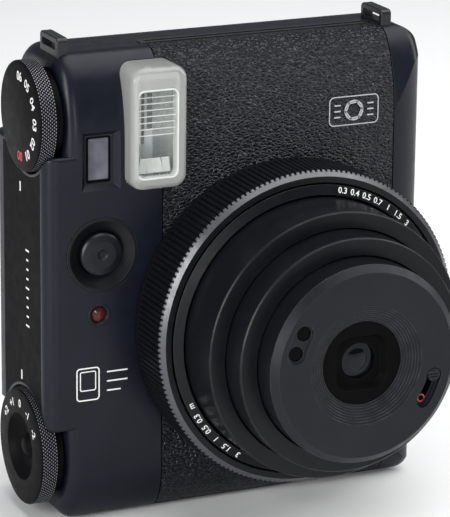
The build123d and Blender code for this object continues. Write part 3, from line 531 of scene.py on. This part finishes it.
def box_line(width, height, radius, line, x=0.0, y=0.0):
    """A rounded rectangle drawn as a line, in (right, up, out)."""
    rings = []
    for grow, out in ((-1, -1), (1, -1), (1, 1), (-1, 1)):
        outline = rounded_outline(width + grow * line, height + grow * line, radius + grow * line / 2)
        rings.append([(x + px, y + py, out * MARK_RELIEF / 2) for px, py in outline])
    return loft(rings, closed=True)


def placed(shape, origin, right, up):
    """Moves a flat mark onto a surface."""
    right, up = Vector(right).normalized(), Vector(up).normalized()
    out = right.cross(up)
    vertices, faces = shape
    return [Vector(origin) + right * x + up * y + out * w for x, y, w in vertices], faces


# ---------------------------------------------------------------- lens

RIB_COUNT = 180
RIB_DEPTH = 0.55 * MM
BASE_STRIP = 1.8 * MM
SCALE_CONE_DEPTH = 0.7 * MM
SCALE_CONE_WIDTH = 2.3 * MM
SCALE_TEXT = 2.1 * MM


def ribbed_ring():
    """The turning ring with V grooves over its wall, ending at the outer edge of its front bevel."""
    front, back = RING_LOW.y, RING_HIGH.y
    inner = RING_R - 3.1 * MM
    mount_r = RING_R - 3.95 * MM
    rows = [
        (mount_r, back, 0), (RING_R - 0.6 * MM, back, 0), (RING_R - 0.6 * MM, back - BASE_STRIP, 0),
        (RING_R - 0.25 * MM, back - BASE_STRIP - 0.15 * MM, 0.3), (RING_R, back - BASE_STRIP - 0.6 * MM, 1),
        (RING_R, front + 1.7 * MM, 1), (RING_R - 0.12 * MM, front + 1.45 * MM, 1),
        (RING_R - 0.55 * MM, front + 1.0 * MM, 0), (RING_R - 1.45 * MM, front, 0),
        (inner + 0.25 * MM, front, 0), (inner, front + 0.25 * MM, 0), (inner, back - 5.6 * MM, 0),
        (mount_r, back - 5.6 * MM, 0),
    ]
    outline = [(radius, along) for radius, along, share in rows]
    shares = [share for radius, along, share in rows]
    per_rib = 4

    def depth(step, row):
        valley = step % per_rib == 0
        return RIB_DEPTH * shares[row] if valley else 0

    count = RIB_COUNT * per_rib
    vertices, faces = lathe(outline, count, turn_about_y(LENS), closed=True, depth=depth)
    # The two front bevel rows take the painted highlight plastic.
    row_materials = {6: 1, 7: 1, 8: 2, 9: 2}
    numbers = [row_materials.get(index % len(rows), 0) for index in range(len(faces))]
    new_piece(
        "lens_ring_ribbed", vertices, faces, [RING, RING_BEVEL_HIGHLIT, LENS_BLACK], "focus_ring",
        ["lens_ring"], smooth=25, face_material=numbers,
    )


def on_cone(text_shape, radius, along, slope, clock):
    """Wraps a flat mark onto the scale cone, with its top outward and its middle at an angle."""
    vertices, faces = text_shape
    wrapped = []
    for right, up, out in vertices:
        reach = radius + up * math.cos(slope) + out * math.sin(slope)
        angle = clock - right / radius
        depth = along + up * math.sin(slope) - out * math.cos(slope)
        wrapped.append(turn_about_y(LENS)(reach, depth, angle))
    return wrapped, faces


def ring_scale():
    """Generic distance numbers round the fixed cone inside the turning ring."""
    low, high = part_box("lens_bezel")
    outer_r = (high.x - low.x) / 2
    cone_back, cone_front = low.y + SCALE_CONE_DEPTH, low.y
    inner_r = outer_r - SCALE_CONE_WIDTH
    slope = math.atan2(cone_back - cone_front, outer_r - inner_r)
    radius, along = (outer_r + inner_r) / 2, (cone_back + cone_front) / 2
    marks = Shapes()
    groups = (
        (77, 5.6, ("0.3", "0.4", "0.5", "0.7", "1", "1.5", "3")),
        (237, 6.2, ("3", "1.5", "1", "0.5", "0.3", "m")),
    )
    for start, step, texts in groups:
        for index, text in enumerate(texts):
            clock = math.radians(start - index * step)
            marks.add(on_cone(glyphs(text, SCALE_TEXT), radius, along, slope, clock))
    marks.piece("ring_scale_numbers", WHITE_INK, "camera_body", "lens_black")


def vignette_marks():
    """The vignette slider with its raised ribs, and the red ring at the end of its slot."""
    low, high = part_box("vignette_switch")
    centre = (low + high) / 2
    knob = Shapes()
    radius = (high.x - low.x) / 2
    front = low.y
    disc_back = high.y - 2.7 * MM
    outline = [
        (0.0, front + 0.30 * MM), (radius - 0.2 * MM, front + 0.30 * MM), (radius, front + 0.45 * MM),
        (radius, disc_back), (0.0, disc_back),
    ]
    knob.add(lathe(outline, 40, turn_about_y(centre)))
    rib, gap = 0.34 * MM, 0.66 * MM
    for index in range(-2, 3):
        z = centre.z + index * gap
        half = math.sqrt(max(0.0, (radius - 0.15 * MM) ** 2 - (abs(index) * gap + rib / 2) ** 2))
        low_corner = (centre.x - half, front, z - rib / 2)
        knob.add(bar(low_corner, (centre.x + half, front + 0.4 * MM, z + rib / 2)))
    stem = 0.4 * MM
    low_corner = (centre.x - stem, high.y - 2.9 * MM, centre.z - stem)
    knob.add(bar(low_corner, (centre.x + stem, high.y, centre.z + stem)))
    knob.piece("vignette_knob", BUTTON, "vignette_slider", "button", ["vignette_switch"])
    slot_end = math.radians(-34)
    slot_r = math.hypot(centre.x - LENS.x, centre.z - LENS.z)
    end = turn_about_y(LENS)(slot_r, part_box("lens_face")[0].y + 1.5 * MM, slot_end)
    dot = Shapes().add(placed(hoop(0.85 * MM, 0.32 * MM), end, (1, 0, 0), (0, 0, 1)))
    dot.piece("vignette_red_ring", RED_INK, "lens_head", "lens_black")


# ---------------------------------------------------------------- dials

KNURL_PITCH = 0.86 * MM
KNURL_ROWS = 8
KNURL_DEPTH = 0.3 * MM


def knurled_dial(centre, radius, rim_left, rim_right, body, node, face_outline):
    """A dial whose rim is cut into rows of small blunt pyramids between its face and its back."""
    around = round(2 * math.pi * radius / KNURL_PITCH)
    rows = KNURL_ROWS
    place = turn_about_x(centre)
    valley = radius - KNURL_DEPTH
    pitch = (rim_right - rim_left) / rows
    half_turn = math.pi / around
    vertices, faces, numbers = [], [], []
    for row in range(rows):
        along = rim_left + (row + 0.5) * pitch
        for step in range(around):
            angle = 2 * half_turn * (step + 0.5 * (row % 2))
            start = len(vertices)
            for reach, share in ((valley - 0.05 * MM, 0.95), (radius, 0.45)):
                for sx, sa in ((-1, -1), (1, -1), (1, 1), (-1, 1)):
                    across = along + sx * share * pitch / 2
                    vertices.append(place(reach, across, angle + sa * share * half_turn))
            for side in range(4):
                after = (side + 1) % 4
                faces.append((start + side, start + after, start + 4 + after, start + 4 + side))
            faces.append((start + 4, start + 5, start + 6, start + 7))
            # The flat top of each pyramid takes the painted highlight plastic.
            numbers += [0, 0, 0, 0, 1]
    rim_materials = [KNURL, KNURL_TIP_HIGHLIT]
    new_piece(node + "_rim", vertices, faces, rim_materials, body, smooth=5, face_material=numbers)
    face_vertices, face_faces = lathe(face_outline, 128, place)
    new_piece(node + "_body", face_vertices, face_faces, [DIAL], body, [node])


def dial_outline(radius, face_x, rim_left, rim_right, back_x, shaft_x, front_points):
    """The outline of a dial without its knurl: face, rim cores and shaft."""
    core = radius - KNURL_DEPTH
    back_r = radius - 2.2 * MM
    shaft_r = 3.0 * MM
    return front_points + [
        (radius - 0.75 * MM, face_x), (radius - 0.2 * MM, face_x + 0.2 * MM),
        (radius - 0.05 * MM, face_x + 0.42 * MM), (core, rim_left), (core, rim_right),
        (back_r, rim_right + 0.3 * MM), (back_r, back_x), (shaft_r, back_x), (shaft_r, shaft_x),
        (0.0, shaft_x),
    ]


def dials():
    """Both dials with their generic numbers."""
    for node, body in (("effect_dial", "effect_selector"), ("brightness_dial", "brightness_selector")):
        low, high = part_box(node)
        centre = (low + high) / 2
        radius = (high.z - low.z) / 2
        face_x = low.x + 0.06 * MM
        rim_left, rim_right = low.x + 0.5 * MM, low.x + 4.4 * MM
        back_x, shaft_x = low.x + 6.7 * MM, high.x
        if node == "effect_dial":
            front_points = [(0.0, face_x)]
        else:
            front_points = [
                (0.0, face_x + 0.9 * MM), (1.6 * MM, face_x + 0.95 * MM), (2.2 * MM, face_x + 1.3 * MM),
                (3.2 * MM, face_x + 2.5 * MM), (4.6 * MM, face_x + 2.8 * MM), (5.8 * MM, face_x + 2.6 * MM),
                (7.0 * MM, face_x + 1.9 * MM), (8.0 * MM, face_x + 0.7 * MM), (8.5 * MM, face_x),
            ]
        outline = dial_outline(radius, face_x, rim_left, rim_right, back_x, shaft_x, front_points)
        knurled_dial(centre, radius, rim_left, rim_right, body, node, outline)
    effect_marks()
    brightness_marks()


def dial_mark(shape, node, reach, clock):
    """Lays a mark on a dial's face at an angle from the front, with its top outward."""
    low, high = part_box(node)
    centre = (low + high) / 2
    angle = math.radians(clock)
    outward = Vector((0, -math.cos(angle), math.sin(angle)))
    origin = Vector((low.x + 0.03 * MM, centre.y, centre.z)) + outward * reach
    right = outward.cross(Vector((-1, 0, 0)))
    return placed(shape, origin, right, outward)


def effect_marks():
    """Numbers round the front half of the upper dial, the first one red."""
    reach, size = 9.7 * MM, 3.2 * MM
    white = Shapes()
    for index in range(1, 7):
        white.add(dial_mark(glyphs(f"0{index}", size), "effect_dial", reach, -90 + index * 30))
    white.piece("effect_numbers", WHITE_INK, "effect_selector", "dial")
    red = Shapes().add(dial_mark(glyphs("00", size), "effect_dial", reach, -90))
    red.piece("effect_number_zero", RED_INK, "effect_selector", "dial")


def brightness_marks():
    """A plus and minus scale round the upper part of the lower dial."""
    white = Shapes()
    for index, text in enumerate(("+2", "+1", "0", "-1", "-2")):
        white.add(dial_mark(glyphs(text, 2.9 * MM), "brightness_dial", 11.1 * MM, 146 - index * 28))
    white.piece("brightness_numbers", WHITE_INK, "brightness_selector", "dial")


def side_marks():
    """The index lines for both dials and a row of short graduations on the side plate."""
    face_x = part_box("side_panel")[0].x
    marks = Shapes()
    to_front, to_top = (0, -1, 0), (0, 0, 1)
    tick = stroke(0, 0, 0, -2.4 * MM, 0.7 * MM)
    tick_y = -3.0 * MM
    for tick_top in (84.6 * MM, 36.4 * MM):
        marks.add(placed(tick, (face_x, tick_y, tick_top), to_front, to_top))
    scale_y = middle("effect_dial").y
    scale_low, scale_step = 49, 2.4
    for index in range(9):
        z = (scale_low + index * scale_step) * MM
        reach = 1.3 * MM if index % 4 else 2.2 * MM
        line = stroke(-reach / 2, 0, reach / 2, 0, 0.45 * MM)
        marks.add(placed(line, (face_x, scale_y, z), to_front, to_top))
    marks.piece("side_index_marks", WHITE_INK, "camera_body", "side_plate")


# ---------------------------------------------------------------- front panel

def badge():
    """A plain aperture pictogram in a thin frame at the upper right of the leatherette."""
    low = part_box("leather_cover")[0]
    origin = Vector((30.7 * MM, low.y - 0.01 * MM, 98.6 * MM))
    marks = Shapes()
    marks.add(box_line(13.4 * MM, 7.2 * MM, 1.2 * MM, 0.26 * MM))
    marks.add(hoop(2.4 * MM, 0.4 * MM))
    for blade in range(6):
        angle = math.pi / 3 * blade
        start = Vector((math.cos(angle), math.sin(angle))) * 2.4 * MM
        turn = angle + math.radians(128)
        end = start + Vector((math.cos(turn), math.sin(turn))) * 2.9 * MM
        marks.add(stroke(start.x, start.y, end.x, end.y, 0.3 * MM))
    for side in (-1, 1):
        for row in (-1, 0, 1):
            marks.add(stroke(side * 3.7 * MM, row * 1.5 * MM, side * 5.4 * MM, row * 1.5 * MM, 0.35 * MM))
    drawn = Shapes().add(placed((marks.vertices, marks.faces), origin, (1, 0, 0), (0, 0, 1)))
    drawn.piece("front_badge_pictogram", GREY_INK, "camera_body", "leatherette")


def front_pictogram():
    """A plain film-sheet pictogram on the smooth panel."""
    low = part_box("front_shell")[0]
    origin = Vector((-36.9 * MM, low.y + 0.13 * MM, 36.5 * MM))
    marks = Shapes()
    marks.add(box_line(5.8 * MM, 8.2 * MM, 0.8 * MM, 0.32 * MM, x=-3.4 * MM))
    marks.add(box_line(4.0 * MM, 4.8 * MM, 0.4 * MM, 0.26 * MM, x=-3.4 * MM, y=0.8 * MM))
    for row, length in enumerate((5.4, 5.4, 3.6)):
        y = (2.6 - row * 2.4) * MM
        marks.add(stroke(1.6 * MM, y, (1.6 + length) * MM, y, 0.36 * MM))
    panel = Shapes().add(placed((marks.vertices, marks.faces), origin, (1, 0, 0), (0, 0, 1)))
    panel.piece("front_film_pictogram", WHITE_INK, "camera_body", "case")


# ---------------------------------------------------------------- flash

def flash():
    """The clear flash housing with its raised window frame and its ribbed pane."""
    low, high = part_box("flash_cover")
    centre = (low + high) / 2
    width, height = high.x - low.x, high.z - low.z
    front = low.y

    def ring(w, h, r, y):
        return frame_ring(w * MM, h * MM, r * MM, centre, y)

    w, h = width / MM, height / MM
    shell = loft([
        ring(w, h, 3.2, high.y - 0.2 * MM), ring(w, h, 3.2, front + 1.9 * MM),
        ring(w - 0.25, h - 0.25, 3.1, front + 1.1 * MM),
        ring(w - 0.9, h - 0.9, 2.9, front + 0.45 * MM), ring(w - 2.0, h - 2.0, 2.5, front + 0.1 * MM),
        ring(w - 2.8, h - 2.8, 2.2, front), ring(w - 3.6, h - 3.6, 2.0, front + 0.15 * MM),
    ])
    housing = Shapes().add(shell)
    housing.piece("flash_cover_shell", COVER_MILK, "camera_body", "clear_cover", ["flash_cover"])
    inner_w, inner_h = w - 4.7, h - 8.9
    drop = Vector((-0.45 * MM, 0, -1.35 * MM))

    def low_ring(w2, h2, r, y):
        return [p + drop for p in frame_ring(w2 * MM, h2 * MM, r * MM, centre, y)]

    bezel = loft([
        ring(w - 3.6, h - 3.6, 2.0, front + 0.15 * MM),
        low_ring(inner_w + 0.9, inner_h + 0.9, 1.7, front + 0.35 * MM),
    ])
    Shapes().add(bezel).piece("flash_cover_front", COVER_MILK, "camera_body", "clear_cover")
    # The window rim and, below, the pane ribs are drawn in the painted highlight plastic.
    rim = loft([
        low_ring(inner_w + 1.0, inner_h + 1.0, 1.7, front + 0.36 * MM),
        low_ring(inner_w + 0.7, inner_h + 0.7, 1.6, front + 0.12 * MM),
        low_ring(inner_w + 0.2, inner_h + 0.2, 1.5, front + 0.16 * MM),
        low_ring(inner_w, inner_h, 1.5, front + 0.9 * MM),
        low_ring(inner_w + 0.2, inner_h + 0.2, 1.5, front + 3.2 * MM),
    ])
    Shapes().add(rim).piece("flash_window_rim", COVER_HIGHLIGHT, "camera_body", "clear_cover")
    pane = loft([
        low_ring(inner_w, inner_h, 1.5, front + 0.9 * MM),
        low_ring(inner_w - 0.3, inner_h - 0.3, 1.4, front + 0.8 * MM),
    ], cap_last=True)
    Shapes().add(pane).piece("flash_window_pane", COVER_CLEAR, "camera_body", "clear_cover")
    ribs = Shapes()
    top = centre.z + drop.z + inner_h / 2 * MM
    for index in range(7):
        z = top - (1.5 + index * 1.55) * MM
        half = (inner_w / 2 - 0.15) * MM
        middle_x = centre.x + drop.x
        low_corner = (middle_x - half, front + 1.0 * MM, z - 0.09 * MM)
        ribs.add(bar(low_corner, (middle_x + half, front + 1.5 * MM, z + 0.09 * MM)))
    ribs.piece("flash_pane_ribs", COVER_HIGHLIGHT, "camera_body", "clear_cover")


def flash_facets():
    """The faceted floor of the reflector in the painted highlight plastic, and two dark strips of painted
    tube shadow on it, seen through the pane.
    """
    low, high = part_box("flash_cover")
    centre = (low + high) / 2
    depth = low.y + 2.3 * MM
    left, right = centre.x - 4.9 * MM, centre.x + 3.8 * MM
    base = centre.z - 11.2 * MM
    facets = Shapes()
    for index in range(4):
        x0 = left + (right - left) * index / 4
        x1 = left + (right - left) * (index + 1) / 4 - 0.16 * MM
        lean = (1.5 - index) * 0.5 * MM
        points = [(x0, base), (x1, base), (x1 + lean * 0.6, base + 3.6 * MM), (x0 + lean, base + 3.6 * MM)]
        rings = [[(x, depth + out, z) for x, z in points] for out in (0, 0.3 * MM)]
        facets.add(loft(rings, cap_first=True, cap_last=True))
    facets.piece("flash_floor_facets", COVER_HIGHLIGHT, "camera_body", "reflector")
    # Painted shadow: two dark strips stand for the shadow of the flash tube on the reflector.
    tube_shadow_strips = Shapes()
    for x, width, reach in ((left + 0.9 * MM, 0.7 * MM, 12.4 * MM), (left + 2.4 * MM, 1.3 * MM, 9.0 * MM)):
        top = centre.z + 8.6 * MM
        tube_shadow_strips.add(bar((x, depth, top - reach), (x + width, depth + 0.3 * MM, top)))
    tube_shadow_strips.piece("flash_reflector_painted_shadow", TUBE_SHADE, "camera_body", "reflector")


def finder_liner():
    """The bevelled liner round the finder window and the dark frame inside it."""
    low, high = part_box("finder_window")
    centre = (low + high) / 2 + Vector((0.2 * MM, 0, 0))
    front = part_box("shutter_dish")[0].y + 1.95 * MM
    liner = loft([
        frame_ring(9.8 * MM, 14.5 * MM, 0.25 * MM, centre, front),
        frame_ring(7.7 * MM, 12.4 * MM, 0.25 * MM, centre, front + 1.25 * MM),
    ])
    Shapes().add(liner).piece("finder_liner", FINDER_LINER, "camera_body", "case")
    frame_front, frame_back = low.y - 0.35 * MM, low.y - 0.05 * MM
    inner = loft([
        frame_ring(6.3 * MM, 11.3 * MM, 0.4 * MM, centre, frame_front),
        frame_ring(5.3 * MM, 10.3 * MM, 0.3 * MM, centre, frame_front),
        frame_ring(5.3 * MM, 10.3 * MM, 0.3 * MM, centre, frame_back),
        frame_ring(6.3 * MM, 11.3 * MM, 0.4 * MM, centre, frame_back),
    ], closed=True)
    Shapes().add(inner).piece("finder_frame", INNER, "camera_body", "case")


# ---------------------------------------------------------------- stage

def add_light(name, place, target, size, power):
    """A soft rectangular light aimed at a point."""
    light = bpy.data.lights.new(name, "AREA")
    light.shape = "RECTANGLE"
    light.size, light.size_y = size
    light.energy = power
    holder = bpy.data.objects.new(name, light)
    holder.location = place
    holder.rotation_euler = (Vector(target) - Vector(place)).to_track_quat("-Z", "Y").to_euler()
    bpy.context.scene.collection.objects.link(holder)


def add_floor():
    """A wide pale floor under the camera."""
    size = 6.0
    shader = Shader("floor_paint", (0.86, 0.86, 0.86), 0.8)
    shader.tint(shader.spread(shader.noise(0.4, 2), 0.4, 0.6, 0.0, 1.0), (0.88, 0.88, 0.88))
    mesh = bpy.data.meshes.new("floor")
    level = cad_bounds[0][2] - 0.02 * MM
    corners = [(-size, -size, level), (size, -size, level), (size, size, level), (-size, size, level)]
    mesh.from_pydata(corners, [], [(0, 1, 2, 3)])
    mesh.materials.append(shader.material)
    floor = bpy.data.objects.new("floor", mesh)
    bpy.context.scene.collection.objects.link(floor)


def add_world():
    """A plain dim surround, so that the soft boxes make the highlights."""
    world = bpy.data.worlds.new("surround")
    world.use_nodes = True
    background = world.node_tree.nodes["Background"]
    background.inputs["Color"].default_value = (0.93, 0.96, 1.0, 1)
    background.inputs["Strength"].default_value = 0.2
    bpy.context.scene.world = world


def add_lights():
    """A large soft box overhead and narrow strips at the left, the front and the right."""
    target = (0, -0.02, 0.06)
    add_light("top_softbox", (0.25, -0.15, 1.2), target, (1.3, 1.3), 17)
    add_light("left_strip", (-0.9, -0.5, 0.36), target, (0.25, 0.7), 9)
    add_light("front_strip", (-0.22, -1.35, 0.24), target, (0.06, 0.46), 3)
    add_light("right_strip", (0.9, -0.25, 0.5), target, (0.3, 0.8), 5)


def add_camera():
    """The camera at the upper left in front."""
    eye = Vector((-0.3121, -0.6883, 0.2849))
    target = Vector((0.0, -0.020, 0.058))
    roll = math.radians(0.70)
    forward = (target - eye).normalized()
    level_right = forward.cross(Vector((0, 0, 1))).normalized()
    level_up = level_right.cross(forward)
    right = level_right * math.cos(roll) + level_up * math.sin(roll)
    up = level_up * math.cos(roll) - level_right * math.sin(roll)
    data = bpy.data.cameras.new("camera")
    data.lens = 217.7
    data.sensor_width = 36.0
    data.shift_x = -0.0274
    data.shift_y = 0.044
    camera = bpy.data.objects.new("camera", data)
    turn = Matrix((right, up, -forward)).transposed().to_4x4()
    camera.matrix_world = Matrix.Translation(eye) @ turn
    bpy.context.scene.collection.objects.link(camera)
    bpy.context.scene.camera = camera


dress_nodes()
ribbed_ring()
ring_scale()
vignette_marks()
dials()
side_marks()
badge()
front_pictogram()
flash()
flash_facets()
finder_liner()
add_floor()
add_world()
add_lights()
add_camera()
bpy.context.scene.view_settings.view_transform = "Standard"
